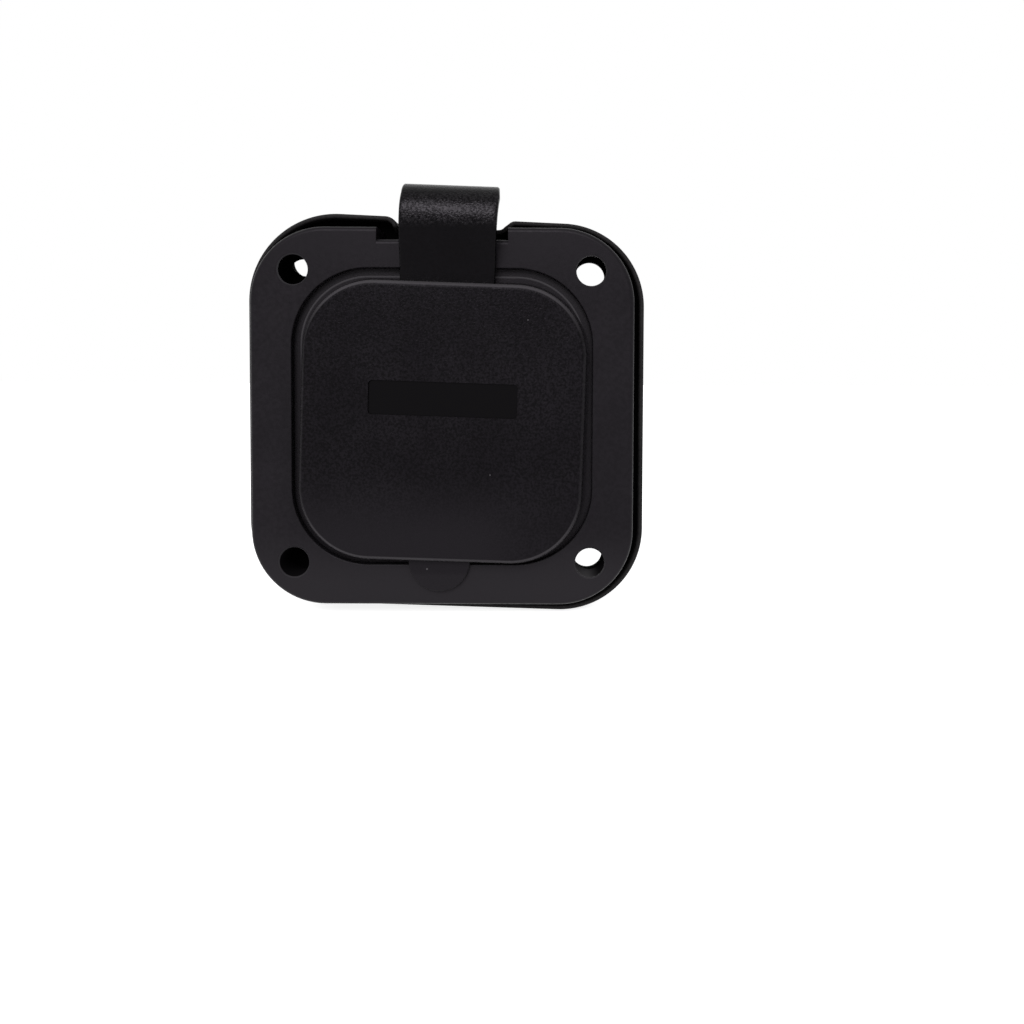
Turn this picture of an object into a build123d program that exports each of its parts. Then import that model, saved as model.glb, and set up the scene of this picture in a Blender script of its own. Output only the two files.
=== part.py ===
from build123d import *
from math import cos, radians, sin
import os

os.makedirs("parts", exist_ok=True)

# A flanged 15 A power inlet with a soft cap on a strap. Sizes are in millimetres.
# X is to the right as seen from the front, Z is up and Y runs into the wall.
# The origin is the centre of the face that lies on the wall.

# Flange
flange_width = 75.0
flange_height = 74.0
flange_corner = 14.6
flange_thickness = 7.0
flange_edge_round = 1.0
skirt_wall = 2.5
core_depth = 3.0
core_rib = 2.0
notch_side_clearance = 3.55
notch_depth = 2.4
notch_edge_round = 1.0

# Wall screws
wall_hole_inset_side = 8.5
wall_hole_inset_end = 8.4
wall_hole_radius = 2.9
wall_hole_edge = 0.3
wall_boss_radius = 6.0

# Recess that the cap lies in
recess_border_side = 8.22
recess_border_end = 8.05
recess_corner = 14.9
recess_depth = 1.2
trench_width = 1.4
trench_depth = 0.55
trench_round = 0.25

# Gasket: a sheet with a low lip round the flange
gasket_thickness = 2.0
gasket_margin_side = 2.0
gasket_margin_top = 1.65
gasket_lip_height = 3.0
gasket_lip_wall = 0.9
gasket_lip_clearance = 0.3
gasket_bore_clearance = 0.6
ear_round = 2.4
ear_clearance = 0.4

# Cap
cap_turn = 1.7
cap_shift = 0.4
cap_drop = 0.9
cap_clearance = 0.1
rim_thickness = 1.0
rim_width = 0.5
rim_corner = 14.4
panel_gap_side = 1.9
panel_gap_end = 2.0
panel_corner = 13.9
panel_above_strap = 1.0
panel_edge_round = 1.1
cap_wall = 2.0
label_width = 28.6
label_height = 6.6
label_corner = 0.8
label_depth = 0.4
label_up = 4.45
tab_radius = 6.0
tab_drop = 0.2
tab_thickness = 0.9
tab_edge_round = 0.3
plug_clearance = 0.4
plug_wall = 2.0
plug_depth = 3.4
bead_clearance = 0.2
bead_length = 0.9

# Strap
strap_width = 18.5
strap_thickness = 1.6
strap_edge_round = 0.4
strap_root_depth = 4.9
strap_flange_clearance = 0.2
loop_radius = 6.15
loop_rise = 1.1

# Barrel behind the flange
well_radius = 20.0
well_depth = 25.8
seat_step = 1.5
barrel_wall = 3.5
barrel_rear_space = 6.0
key_width = 3.0
key_height = 1.6
groove_width = 1.6
groove_depth = 1.2
cover_screw_clearance = 2.0
cover_boss_radius = 3.6
cover_pilot_depth = 12.0

# Contact carrier and contacts
carrier_thickness = 8.0
carrier_clearance = 0.1
contact_clearance = 0.05
blade_spacing = 12.7
blade_thickness = 1.5
line_blade_width = 6.35
neutral_blade_width = 7.95
blade_length = 17.5
blade_tip_chamfer = 0.6
ground_offset = 11.9
ground_radius = 2.4
ground_length = 21.0
ground_tip_flat = 0.3
contacts_up = 4.0
terminal_thickness = 1.5
terminal_width = 8.0
terminal_out = 10.4
terminal_screw_out = 6.9
ground_screw_out = 6.0
ground_terminal_out = 9.8
clamp_plate_inset = 0.5
clamp_plate_thickness = 1.2
clamp_plate_corner = 1.0
terminal_thread_radius = 1.75
terminal_screw_length = 6.0
terminal_head_radius = 3.2
terminal_head_height = 1.8
barrier_thickness = 1.4
barrier_height = 4.0
barrier_slope = 35.0

# Rear cover and cable clamp
cover_rim = 2.6
cover_length = 17.0
cover_wall = 2.4
cover_taper = 5.0
cover_tail_round = 2.5
cover_step = 1.0
cover_ear_radius = 4.2
spigot_wall = 2.0
cable_radius = 5.5
bush_wall = 2.4
bush_flange = 1.2
bush_lip = 1.2
clamp_length = 9.0
clamp_gap = 1.0
clamp_floor = 3.0
clamp_saddle_height = 4.0
clamp_screw_inner = 4.8
clamp_screw_outer = 4.7
clamp_corner = 2.0
clamp_pilot_depth = 7.0
clamp_face_clearance = 0.2
trough_clearance = 0.5

# Small screws
small_screw_radius = 1.3
thread_clearance = 0.05
small_head_radius = 2.9
small_head_height = 1.8
screw_hole_clearance = 0.2
cross_width = 0.7
cross_reach = 0.55
cross_depth = 1.0
head_round = 0.6
screw_end_space = 1.0

# Depths along Y that the pieces share
wall_face = 0.0
flange_back = wall_face - gasket_thickness
flange_front = flange_back - flange_thickness
recess_floor = flange_front + recess_depth
shoulder = recess_floor + well_depth
carrier_back = shoulder + carrier_thickness
barrel_end = carrier_back + barrel_rear_space
cap_back = recess_floor - cap_clearance
strap_flat_back = flange_front - strap_flange_clearance
panel_front = strap_flat_back - strap_thickness - panel_above_strap
cover_back = barrel_end + cover_length

# Radii round the barrel's axis
seat_radius = well_radius + seat_step
barrel_radius = seat_radius + barrel_wall
groove_radius = seat_radius + barrel_wall / 2
cover_tail_radius = barrel_radius - cover_taper
spigot_radius = seat_radius - carrier_clearance
cover_bore = spigot_radius - spigot_wall
bush_radius = cable_radius + bush_wall
trough_radius = cable_radius + trough_clearance

# Places that more than one piece uses
wall_hole_width = flange_width - 2 * wall_hole_inset_side
wall_hole_height = flange_height - 2 * wall_hole_inset_end
recess_width = flange_width - 2 * recess_border_side
recess_height = flange_height - 2 * recess_border_end
panel_width = recess_width - 2 * panel_gap_side
panel_height = recess_height - 2 * panel_gap_end
notch_width = strap_width + 2 * notch_side_clearance
notch_floor = flange_height / 2 - notch_depth
flange_top_up = flange_height / 2 + cap_drop
strap_root_up = flange_top_up - strap_root_depth
loop_up = flange_top_up + loop_rise
cover_screw_out = barrel_radius + cover_screw_clearance
boss_reach = cover_screw_out + cover_boss_radius
blade_out = blade_spacing / 2
ground_up = contacts_up - ground_offset
terminal_screw_x = blade_out + terminal_screw_out
terminal_spots = {
    "line": (-terminal_screw_x, contacts_up),
    "neutral": (terminal_screw_x, contacts_up),
    "ground": (0, ground_up - ground_screw_out),
}
gasket_width = flange_width + 2 * gasket_margin_side
gasket_height = flange_height + 2 * gasket_margin_top
gasket_corner = flange_corner + gasket_margin_side
turn = radians(cap_turn)
cap_centre = (cap_shift, -cap_drop)
cap_right = (cos(turn), 0, -sin(turn))
cover_screw_spots = [(-cover_screw_out, 0), (cover_screw_out, 0)]


# A plane square to Y, drawn as seen from the front: its normal points at the viewer.
def front_plane(depth):
    return Plane(origin=(0, depth, 0), x_dir=(1, 0, 0), z_dir=(0, -1, 0))


# The same plane for the cap, which lies a little turned and low in its recess.
def cap_plane(depth):
    return Plane(origin=(cap_centre[0], depth, cap_centre[1]), x_dir=cap_right, z_dir=(0, -1, 0))


# Pan-head screws: out is 1 where the heads stand up from the plane, -1 where they go behind it.
def pan_screws(seat, out, spots, shank_radius, shank_length, head_radius, head_height):
    with BuildPart() as screws:
        with BuildSketch(seat):
            with Locations(*spots):
                Circle(head_radius)
        extrude(amount=out * head_height)
        heads = screws.faces().sort_by(Axis(seat.origin, seat.z_dir * out))[-len(spots):]
        fillet(heads.edges(), head_round)
        with BuildSketch(seat):
            with Locations(*spots):
                Circle(shank_radius)
        extrude(amount=-out * shank_length)
        with BuildSketch(seat.offset(out * head_height)):
            with Locations(*spots):
                Rectangle(cross_width, 2 * cross_reach * head_radius)
                Rectangle(2 * cross_reach * head_radius, cross_width)
        extrude(amount=-out * cross_depth, mode=Mode.SUBTRACT)
    return screws.part


# Housing: flange, recess, well and barrel are one moulding.
with BuildPart() as housing:
    with BuildSketch(front_plane(flange_back)):
        RectangleRounded(flange_width, flange_height, flange_corner)
    extrude(amount=flange_thickness)
    fillet(housing.faces().sort_by(Axis.Y)[0].edges(), flange_edge_round)

    # Notch for the strap, with a rounded front edge to its floor
    with BuildSketch(front_plane(flange_back)):
        with Locations((0, flange_height / 2)):
            Rectangle(notch_width, 2 * notch_depth)
    extrude(amount=flange_thickness, mode=Mode.SUBTRACT)
    fillet(housing.edges().sort_by_distance((0, flange_front, notch_floor))[0], notch_edge_round)

    # Recess for the cap, with a shallow trench along the foot of its wall
    with BuildSketch(front_plane(recess_floor)):
        RectangleRounded(recess_width, recess_height, recess_corner)
    extrude(amount=recess_depth, mode=Mode.SUBTRACT)
    with BuildSketch(front_plane(recess_floor + trench_depth)):
        RectangleRounded(recess_width, recess_height, recess_corner)
        RectangleRounded(
            recess_width - 2 * trench_width,
            recess_height - 2 * trench_width,
            recess_corner - trench_width,
            mode=Mode.SUBTRACT,
        )
    extrude(amount=trench_depth, mode=Mode.SUBTRACT)
    fillet(housing.edges(Select.LAST).group_by(Axis.Y)[0], trench_round)

    # Barrel with its two screw bosses
    with BuildSketch(front_plane(barrel_end)):
        Circle(barrel_radius)
        Rectangle(2 * cover_screw_out, 2 * cover_boss_radius)
        with Locations(*cover_screw_spots):
            Circle(cover_boss_radius)
    extrude(amount=barrel_end - flange_back)

    # Hollow back of the flange, with bosses at the wall screws and ribs to the barrel
    with BuildSketch(front_plane(flange_back)):
        RectangleRounded(
            flange_width - 2 * skirt_wall, flange_height - 2 * skirt_wall, flange_corner - skirt_wall
        )
        Circle(boss_reach, mode=Mode.SUBTRACT)
        with GridLocations(wall_hole_width, wall_hole_height, 2, 2):
            Circle(wall_boss_radius, mode=Mode.SUBTRACT)
        with Locations((0, flange_height / 2)):
            Rectangle(
                notch_width + 2 * skirt_wall, 2 * (notch_depth + skirt_wall), mode=Mode.SUBTRACT
            )
        Rectangle(core_rib, flange_height, mode=Mode.SUBTRACT)
        Rectangle(flange_width, core_rib, mode=Mode.SUBTRACT)
    extrude(amount=core_depth, mode=Mode.SUBTRACT)

    # Well for the connector, and the wider seat of the contact carrier behind it
    with BuildSketch(front_plane(shoulder)):
        Circle(well_radius)
    extrude(amount=well_depth, mode=Mode.SUBTRACT)
    with BuildSketch(front_plane(barrel_end)):
        Circle(seat_radius)
    extrude(amount=barrel_end - shoulder, mode=Mode.SUBTRACT)
    with BuildSketch(front_plane(carrier_back)):
        with Locations((0, seat_radius)):
            Rectangle(key_width, 2 * key_height)
        Circle(seat_radius + barrel_wall / 2, mode=Mode.INTERSECT)
    extrude(amount=carrier_thickness)

    # Groove for the seal, pilot holes for the cover screws, holes for the wall screws
    with BuildSketch(front_plane(barrel_end)):
        Circle(groove_radius + groove_width / 2)
        Circle(groove_radius - groove_width / 2, mode=Mode.SUBTRACT)
    extrude(amount=groove_depth, mode=Mode.SUBTRACT)
    with BuildSketch(front_plane(barrel_end)):
        with Locations(*cover_screw_spots):
            Circle(small_screw_radius + thread_clearance)
    extrude(amount=cover_pilot_depth, mode=Mode.SUBTRACT)
    with BuildSketch(front_plane(flange_back)):
        with GridLocations(wall_hole_width, wall_hole_height, 2, 2):
            Circle(wall_hole_radius)
    extrude(amount=flange_thickness, mode=Mode.SUBTRACT)
    flange_face = housing.faces().sort_by(Axis.Y)[0]
    wall_hole_rims = [wire.edges() for wire in flange_face.inner_wires() if len(wire.edges()) == 1]
    chamfer(wall_hole_rims, wall_hole_edge)

housing.part.label = "housing"
export_step(housing.part, "parts/housing.step")

# Gasket: the sheet between flange and wall, its lip, and the gap between its ears for the strap.
ear_gap = strap_width + 2 * ear_clearance

with BuildPart() as gasket:
    with BuildSketch(front_plane(wall_face)) as gasket_outline:
        RectangleRounded(gasket_width, gasket_height, gasket_corner)
        with Locations(Location(cap_centre, -cap_turn)):
            with Locations((0, strap_root_up + gasket_height / 2)):
                Rectangle(ear_gap, gasket_height, mode=Mode.SUBTRACT)
        ears = gasket_outline.vertices().sort_by_distance((cap_shift, gasket_height))[:2]
        fillet(ears, ear_round)
    extrude(amount=gasket_thickness)
    with BuildSketch(front_plane(flange_back)):
        add(gasket_outline.sketch_local)
        offset(gasket_outline.sketch_local, amount=-gasket_lip_wall, mode=Mode.SUBTRACT)
        Rectangle(notch_width, 2 * (notch_floor + gasket_lip_clearance), mode=Mode.SUBTRACT)
    extrude(amount=gasket_lip_height)
    with BuildSketch(front_plane(wall_face)):
        Circle(boss_reach + gasket_bore_clearance)
        with GridLocations(wall_hole_width, wall_hole_height, 2, 2):
            Circle(wall_hole_radius)
    extrude(amount=gasket_thickness, mode=Mode.SUBTRACT)

gasket.part.label = "gasket"
export_step(gasket.part, "parts/gasket.step")

# Cap: rim, raised panel with a bare label recess, thumb tab and the plug that closes the well.
with BuildPart() as cap:
    with BuildSketch(cap_plane(flange_front - cap_clearance)):
        with Locations((0, -tab_drop - panel_height / 2)):
            Circle(tab_radius)
    extrude(amount=tab_thickness)
    fillet(cap.faces().sort_by(Axis.Y)[0].edges(), tab_edge_round)
    with BuildSketch(cap_plane(cap_back)):
        RectangleRounded(panel_width, panel_height, panel_corner)
    extrude(amount=cap_back - panel_front)
    fillet(cap.faces().sort_by(Axis.Y)[0].edges(), panel_edge_round)
    with BuildSketch(cap_plane(cap_back)):
        RectangleRounded(panel_width + 2 * rim_width, panel_height + 2 * rim_width, rim_corner)
    extrude(amount=rim_thickness)
    with BuildSketch(cap_plane(panel_front)):
        with Locations((0, label_up)):
            RectangleRounded(label_width, label_height, label_corner)
    extrude(amount=-label_depth, mode=Mode.SUBTRACT)
    with BuildSketch(front_plane(cap_back)):
        Circle(well_radius - plug_clearance)
    extrude(amount=-plug_depth)
    with BuildSketch(front_plane(cap_back + plug_depth)):
        Circle(well_radius - bead_clearance)
    extrude(amount=bead_length)
    with BuildSketch(front_plane(cap_back + plug_depth)):
        Circle(well_radius - plug_clearance - plug_wall)
    extrude(amount=cap_back + plug_depth - panel_front - cap_wall, mode=Mode.SUBTRACT)

cap.part.label = "cap"
export_step(cap.part, "parts/cap.step")

# Strap: up behind the flange, over in a loop, then down in an S to the top of the cap's panel.
strap_back = wall_face - gasket_thickness / 2
strap_front = strap_back - 2 * loop_radius
strap_foot = strap_flat_back - strap_thickness / 2
strap_side = Plane(origin=(cap_centre[0], 0, cap_centre[1]), x_dir=(0, 1, 0), z_dir=cap_right)

with BuildPart() as strap:
    with BuildSketch(strap_side):
        with BuildLine():
            root = (strap_back, strap_root_up)
            rise = Line(root, (strap_back, loop_up))
            crest = CenterArc((strap_back - loop_radius, loop_up), loop_radius, 0, 180)
            foot = (strap_foot, panel_height / 2)
            middle = ((strap_front + strap_foot) / 2, (loop_up + panel_height / 2) / 2)
            lean = TangentArc((strap_front, loop_up), middle, tangent=(0, -1))
            settle = TangentArc(lean @ 1, foot, tangent=lean % 1)
        trace(line_width=strap_thickness)
    extrude(amount=strap_width / 2, both=True)
    strap_sides = strap.faces().sort_by(Axis(strap_side.origin, strap_side.z_dir))
    fillet(strap_sides[0].edges() + strap_sides[-1].edges(), strap_edge_round)

strap.part.label = "strap"
export_step(strap.part, "parts/strap.step")

# Contact carrier: an insulating disc with slots for the contacts and barriers between terminals.
with BuildPart() as carrier:
    with BuildSketch(front_plane(carrier_back)):
        Circle(spigot_radius)
        with Locations((0, seat_radius)):
            Rectangle(
                key_width + 2 * carrier_clearance,
                2 * (key_height + carrier_clearance),
                mode=Mode.SUBTRACT,
            )
    extrude(amount=carrier_thickness)
    with BuildSketch(front_plane(carrier_back)):
        with Locations((0, contacts_up + terminal_width)):
            Rectangle(barrier_thickness, 2 * terminal_width)
        for side in (-1, 1):
            with Locations(Location((side * blade_out, ground_up + ground_radius), -side * barrier_slope)):
                Rectangle(blade_spacing, barrier_thickness)
        Circle(cover_bore - carrier_clearance, mode=Mode.INTERSECT)
    extrude(amount=-barrier_height)
    with BuildSketch(front_plane(carrier_back)):
        with Locations((-blade_out, contacts_up)):
            Rectangle(blade_thickness + 2 * contact_clearance, line_blade_width + 2 * contact_clearance)
        with Locations((blade_out, contacts_up)):
            Rectangle(
                blade_thickness + 2 * contact_clearance, neutral_blade_width + 2 * contact_clearance
            )
        with Locations((0, ground_up)):
            Circle(ground_radius + contact_clearance)
    extrude(amount=carrier_thickness, mode=Mode.SUBTRACT)
    with BuildSketch(front_plane(carrier_back)):
        with Locations(*terminal_spots.values()):
            Circle(terminal_thread_radius + contact_clearance)
    extrude(amount=terminal_screw_length, mode=Mode.SUBTRACT)

carrier.part.label = "contact_carrier"
export_step(carrier.part, "parts/contact_carrier.step")


# A blade with its terminal tab bent outwards along the back of the carrier.
def blade_contact(side, width):
    tab_inner = blade_out - blade_thickness / 2
    tab_outer = blade_out + terminal_out
    with BuildPart() as contact:
        with BuildSketch(front_plane(carrier_back)):
            with Locations((side * blade_out, contacts_up)):
                Rectangle(blade_thickness, width)
        extrude(amount=carrier_thickness + blade_length)
        chamfer(contact.faces().sort_by(Axis.Y)[0].edges(), blade_tip_chamfer)
        with BuildSketch(front_plane(carrier_back)):
            with Locations((side * (tab_inner + tab_outer) / 2, contacts_up)):
                Rectangle(tab_outer - tab_inner, terminal_width)
            with Locations((side * terminal_screw_x, contacts_up)):
                Circle(terminal_thread_radius, mode=Mode.SUBTRACT)
        extrude(amount=-terminal_thickness)
    return contact.part


# Clamp plate that a terminal screw presses onto the wire.
def clamp_plate(spot):
    plate_size = terminal_width - 2 * clamp_plate_inset
    with BuildPart() as plate:
        with BuildSketch(front_plane(carrier_back + terminal_thickness)):
            with Locations(spot):
                RectangleRounded(plate_size, plate_size, clamp_plate_corner)
                Circle(terminal_thread_radius + screw_hole_clearance, mode=Mode.SUBTRACT)
        extrude(amount=-clamp_plate_thickness)
    return plate.part


# The ground pin stands further out than the blades, so it makes contact first.
with BuildPart() as ground_pin:
    with BuildSketch(front_plane(carrier_back)):
        with Locations((0, ground_up)):
            Circle(ground_radius)
    extrude(amount=carrier_thickness + ground_length)
    fillet(ground_pin.faces().sort_by(Axis.Y)[0].edges(), ground_radius - ground_tip_flat)
    with BuildSketch(front_plane(carrier_back)):
        with Locations((0, ground_up + (ground_radius - ground_terminal_out) / 2)):
            Rectangle(terminal_width, ground_radius + ground_terminal_out)
        with Locations(terminal_spots["ground"]):
            Circle(terminal_thread_radius, mode=Mode.SUBTRACT)
    extrude(amount=-terminal_thickness)

contacts = {
    "line": (blade_contact(-1, line_blade_width), "line_blade"),
    "neutral": (blade_contact(1, neutral_blade_width), "neutral_blade"),
    "ground": (ground_pin.part, "ground_pin"),
}
screw_seat = front_plane(carrier_back + terminal_thickness + clamp_plate_thickness)

for pole, (contact, contact_name) in contacts.items():
    contact.label = contact_name
    export_step(contact, f"parts/{contact_name}.step")
    plate = clamp_plate(terminal_spots[pole])
    plate.label = f"{pole}_clamp_plate"
    export_step(plate, f"parts/{plate.label}.step")
    screw = pan_screws(
        screw_seat,
        -1,
        [terminal_spots[pole]],
        terminal_thread_radius - thread_clearance,
        terminal_screw_length,
        terminal_head_radius,
        terminal_head_height,
    )
    screw.label = f"{pole}_terminal_screw"
    export_step(screw, f"parts/{screw.label}.step")

# Rear cover: a cup with a spigot that holds the carrier, two ears and the lower half of the clamp.
clamp_middle = cover_back + clamp_length / 2
clamp_ear_top = clamp_gap / 2 + clamp_saddle_height
clamp_screw_out = trough_radius + clamp_screw_inner
clamp_width = 2 * (clamp_screw_out + clamp_screw_outer)
clamp_base = trough_radius + clamp_floor
clamp_screw_spots = [(-clamp_screw_out, clamp_middle), (clamp_screw_out, clamp_middle)]

with BuildPart() as rear_cover:
    with BuildSketch(Plane.XY):
        with BuildLine():
            Polyline(
                (0, barrel_end),
                (barrel_radius, barrel_end),
                (barrel_radius, barrel_end + cover_rim),
                (barrel_radius - cover_step, barrel_end + cover_rim),
                (cover_tail_radius, cover_back),
                (0, cover_back),
                close=True,
            )
        make_face()
    revolve(axis=Axis.Y)
    fillet(rear_cover.faces().sort_by(Axis.Y)[-1].edges(), cover_tail_round)
    with BuildSketch(front_plane(barrel_end + cover_rim)):
        with Locations(*cover_screw_spots):
            Circle(cover_ear_radius)
        Rectangle(2 * cover_screw_out, 2 * cover_ear_radius)
    extrude(amount=cover_rim)
    with BuildSketch(front_plane(cover_back + clamp_length)):
        with Locations((0, -(clamp_base + clamp_gap / 2) / 2)):
            RectangleRounded(clamp_width, clamp_base - clamp_gap / 2, clamp_corner)
    extrude(amount=clamp_length + cover_wall)
    with BuildSketch(Plane.XY):
        with BuildLine():
            Polyline(
                (0, barrel_end - cover_rim),
                (cover_bore, barrel_end - cover_rim),
                (cover_bore, barrel_end + cover_rim),
                (cover_tail_radius - cover_wall, cover_back - cover_wall),
                (0, cover_back - cover_wall),
                close=True,
            )
        make_face()
    revolve(axis=Axis.Y, mode=Mode.SUBTRACT)
    with BuildSketch(front_plane(barrel_end)):
        Circle(spigot_radius)
        Circle(cover_bore, mode=Mode.SUBTRACT)
    extrude(amount=barrel_end - carrier_back)
    with BuildSketch(front_plane(barrel_end + cover_rim)):
        with Locations(*cover_screw_spots):
            Circle(small_screw_radius + screw_hole_clearance)
    extrude(amount=cover_rim, mode=Mode.SUBTRACT)
    with BuildSketch(front_plane(cover_back)):
        Circle(bush_radius)
    extrude(amount=cover_wall, mode=Mode.SUBTRACT)
    with BuildSketch(front_plane(cover_back + clamp_length)):
        Circle(trough_radius)
    extrude(amount=clamp_length, mode=Mode.SUBTRACT)
    with BuildSketch(Plane.XY.offset(-clamp_gap / 2)):
        with Locations(*clamp_screw_spots):
            Circle(small_screw_radius + thread_clearance)
    extrude(amount=-clamp_pilot_depth, mode=Mode.SUBTRACT)

rear_cover.part.label = "rear_cover"
export_step(rear_cover.part, "parts/rear_cover.step")

# Round seal between the barrel's end and the cover
with BuildPart() as cover_seal:
    with BuildSketch(Plane.XY):
        with Locations((groove_radius, barrel_end - groove_depth / 2)):
            Circle(groove_depth / 2)
    revolve(axis=Axis.Y)

cover_seal.part.label = "cover_seal"
export_step(cover_seal.part, "parts/cover_seal.step")

# Rubber bush in the cover's cable hole, with a lip inside the wall
with BuildPart() as cable_bush:
    with BuildSketch(front_plane(cover_back)):
        Circle(bush_radius)
        Circle(cable_radius, mode=Mode.SUBTRACT)
    extrude(amount=cover_wall)
    with BuildSketch(front_plane(cover_back - cover_wall)):
        Circle(bush_radius + bush_lip)
        Circle(cable_radius, mode=Mode.SUBTRACT)
    extrude(amount=bush_flange)

cable_bush.part.label = "cable_bush"
export_step(cable_bush.part, "parts/cable_bush.step")

# Upper half of the cable clamp: an arch over the cable with an ear on each side
with BuildPart() as cable_clamp:
    with BuildSketch(front_plane(cover_back + clamp_length)):
        with Locations((0, (clamp_gap / 2 + clamp_ear_top) / 2)):
            Rectangle(clamp_width, clamp_ear_top - clamp_gap / 2)
        Circle(trough_radius + cover_wall)
        with Locations((0, clamp_gap / 2 - clamp_width)):
            Rectangle(2 * clamp_width, 2 * clamp_width, mode=Mode.SUBTRACT)
        Circle(trough_radius, mode=Mode.SUBTRACT)
    extrude(amount=clamp_length - clamp_face_clearance)
    fillet(cable_clamp.edges().filter_by(Axis.Y).group_by(Axis.X)[0], clamp_corner / 2)
    fillet(cable_clamp.edges().filter_by(Axis.Y).group_by(Axis.X)[-1], clamp_corner / 2)
    with BuildSketch(Plane.XY.offset(clamp_ear_top)):
        with Locations(*clamp_screw_spots):
            Circle(small_screw_radius + screw_hole_clearance)
    extrude(amount=-clamp_saddle_height, mode=Mode.SUBTRACT)

cable_clamp.part.label = "cable_clamp"
export_step(cable_clamp.part, "parts/cable_clamp.step")

# Screws of the rear cover and of the cable clamp
cover_screws = pan_screws(
    front_plane(barrel_end + cover_rim),
    -1,
    cover_screw_spots,
    small_screw_radius,
    cover_rim + cover_pilot_depth - screw_end_space,
    small_head_radius,
    small_head_height,
)
cover_screws.label = "cover_screws"
export_step(cover_screws, "parts/cover_screws.step")

clamp_screws = pan_screws(
    Plane.XY.offset(clamp_ear_top),
    1,
    clamp_screw_spots,
    small_screw_radius,
    clamp_saddle_height + clamp_gap + clamp_pilot_depth - screw_end_space,
    small_head_radius,
    small_head_height,
)
clamp_screws.label = "cable_clamp_screws"
export_step(clamp_screws, "parts/cable_clamp_screws.step")
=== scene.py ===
from math import cos, pi, radians, sin
import bpy
import numpy as np
from mathutils import Matrix, Vector
from mathutils.geometry import delaunay_2d_cdt


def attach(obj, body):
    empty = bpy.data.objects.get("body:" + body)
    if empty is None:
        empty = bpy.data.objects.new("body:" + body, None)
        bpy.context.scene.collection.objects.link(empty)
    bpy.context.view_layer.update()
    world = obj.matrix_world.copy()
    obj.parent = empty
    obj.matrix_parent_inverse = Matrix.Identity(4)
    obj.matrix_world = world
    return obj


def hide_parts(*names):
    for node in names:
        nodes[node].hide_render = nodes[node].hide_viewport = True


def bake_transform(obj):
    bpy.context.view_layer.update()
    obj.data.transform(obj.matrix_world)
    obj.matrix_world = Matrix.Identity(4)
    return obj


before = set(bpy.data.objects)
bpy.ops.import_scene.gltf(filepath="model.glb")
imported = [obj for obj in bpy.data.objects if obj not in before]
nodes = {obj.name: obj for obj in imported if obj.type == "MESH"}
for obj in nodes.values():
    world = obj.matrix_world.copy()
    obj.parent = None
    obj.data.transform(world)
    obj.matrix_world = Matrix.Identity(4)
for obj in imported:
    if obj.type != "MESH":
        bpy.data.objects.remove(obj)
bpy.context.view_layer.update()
scene = bpy.context.scene
mm = 0.001
print("frame loaded with", len(nodes), "nodes")


# ---- camera: level with the flange, a little to its right, with the frame shifted down as in the photograph
camera = {
    "place": (22.6, -159.0, 8.15),
    "pitch": -1.83,  # degrees, as all angles here
    "yaw": 0.38,
    "roll": 0.29,
    "focalPixels": 768.8,
    "centrePixel": (563.0, 400.6),
    "frame": 1024,
}


def addCamera(c):
    pitch, yaw, roll = radians(c["pitch"]), radians(c["yaw"]), radians(c["roll"])
    forward = Vector((sin(yaw) * cos(pitch), cos(yaw) * cos(pitch), sin(pitch)))
    level = Vector((cos(yaw), -sin(yaw), 0))
    up = level.cross(forward)
    right = level * cos(roll) + up * sin(roll)
    up = up * cos(roll) - level * sin(roll)
    data = bpy.data.cameras.new("camera")
    data.sensor_width = 36
    data.lens = 36 * c["focalPixels"] / c["frame"]
    data.shift_x = 0.5 - c["centrePixel"][0] / c["frame"]
    data.shift_y = c["centrePixel"][1] / c["frame"] - 0.5
    data.clip_start = 0.01
    data.clip_end = 20
    thing = bpy.data.objects.new("camera", data)
    turn = Matrix((right, up, -forward)).transposed().to_4x4()
    thing.matrix_world = Matrix.Translation(Vector(c["place"]) * mm) @ turn
    scene.collection.objects.link(thing)
    scene.camera = thing


addCamera(camera)
print("camera placed")


# ---- mesh helpers: every shape is sampled in millimetres and handed over in metres
def roundedOutline(corners, radii, step):
    # closed outline of straight edges and corner arcs, as evenly spaced points with their outward normals;
    # an arc turns its first radius a into its last b: (a sin((1 - t) w) + b sin(t w)) / sin(w)
    corners = np.array(corners, float)
    pieces = []
    for i, radius in enumerate(radii):
        here = corners[i]
        before = corners[i - 1] - here
        after = corners[(i + 1) % len(corners)] - here
        before /= np.linalg.norm(before)
        after /= np.linalg.norm(after)
        half = np.arccos(np.clip(before @ after, -1, 1)) / 2
        middle = (before + after) / np.linalg.norm(before + after)
        centre = here + middle * radius / np.sin(half)
        first = here + before * radius / np.tan(half) - centre
        last = here + after * radius / np.tan(half) - centre
        t = np.linspace(0, 1, 40)[:, None]
        sweep = pi - 2 * half
        pieces.append(centre + (first * np.sin((1 - t) * sweep) + last * np.sin(t * sweep)) / np.sin(sweep))
    line = np.concatenate(pieces + [pieces[0][:1]])
    run = np.concatenate([[0], np.cumsum(np.linalg.norm(np.diff(line, axis=0), axis=1))])
    count = int(round(run[-1] / step))
    at = np.arange(count) * run[-1] / count
    points = np.stack([np.interp(at, run, line[:, k]) for k in (0, 1)], 1)
    tangent = np.roll(points, -1, 0) - np.roll(points, 1, 0)
    tangent /= np.linalg.norm(tangent, axis=1)[:, None]
    area = np.sum(points[:, 0] * np.roll(points[:, 1], -1) - np.roll(points[:, 0], -1) * points[:, 1])
    normal = np.stack([tangent[:, 1], -tangent[:, 0]], 1) * (1 if area > 0 else -1)
    return points, normal


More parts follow.
